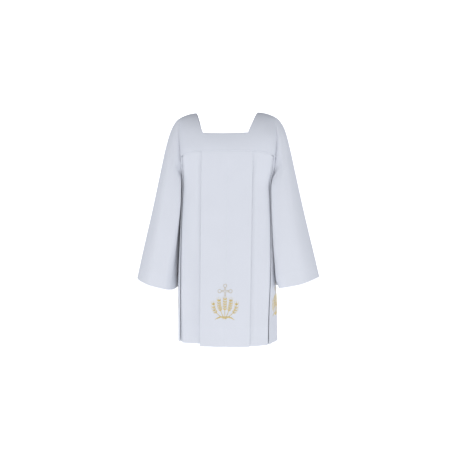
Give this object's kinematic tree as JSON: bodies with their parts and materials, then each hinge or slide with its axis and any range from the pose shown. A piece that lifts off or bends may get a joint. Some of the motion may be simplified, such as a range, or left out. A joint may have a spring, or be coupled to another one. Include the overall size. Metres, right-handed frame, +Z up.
{
  "type": "surplice",
  "caption": "White square-necked vestment worn over other clothes, with box pleats hung from a yoke and wide bell sleeves; hollow, in its worn form.",
  "frame": {"origin": "midway between the wearer's shoulders, level with the inside of the yoke at the neck points, where the shoulders carry the garment", "axes": "+Z up along the wearer's body; -Y out of the front; +X towards the wearer's left side"},
  "size_m": [0.7272, 0.2895, 0.9046],
  "materials": {
    "white_cloth": "matt plain-weave cloth in a cool white"
  },
  "bodies": {
    "root": {"front_yoke": "white_cloth", "back_yoke": "white_cloth", "front_skirt": "white_cloth", "back_skirt": "white_cloth", "side_panel_left": "white_cloth", "side_panel_right": "white_cloth", "sleeve_left": "white_cloth", "sleeve_right": "white_cloth"}
  },
  "joints": []
}
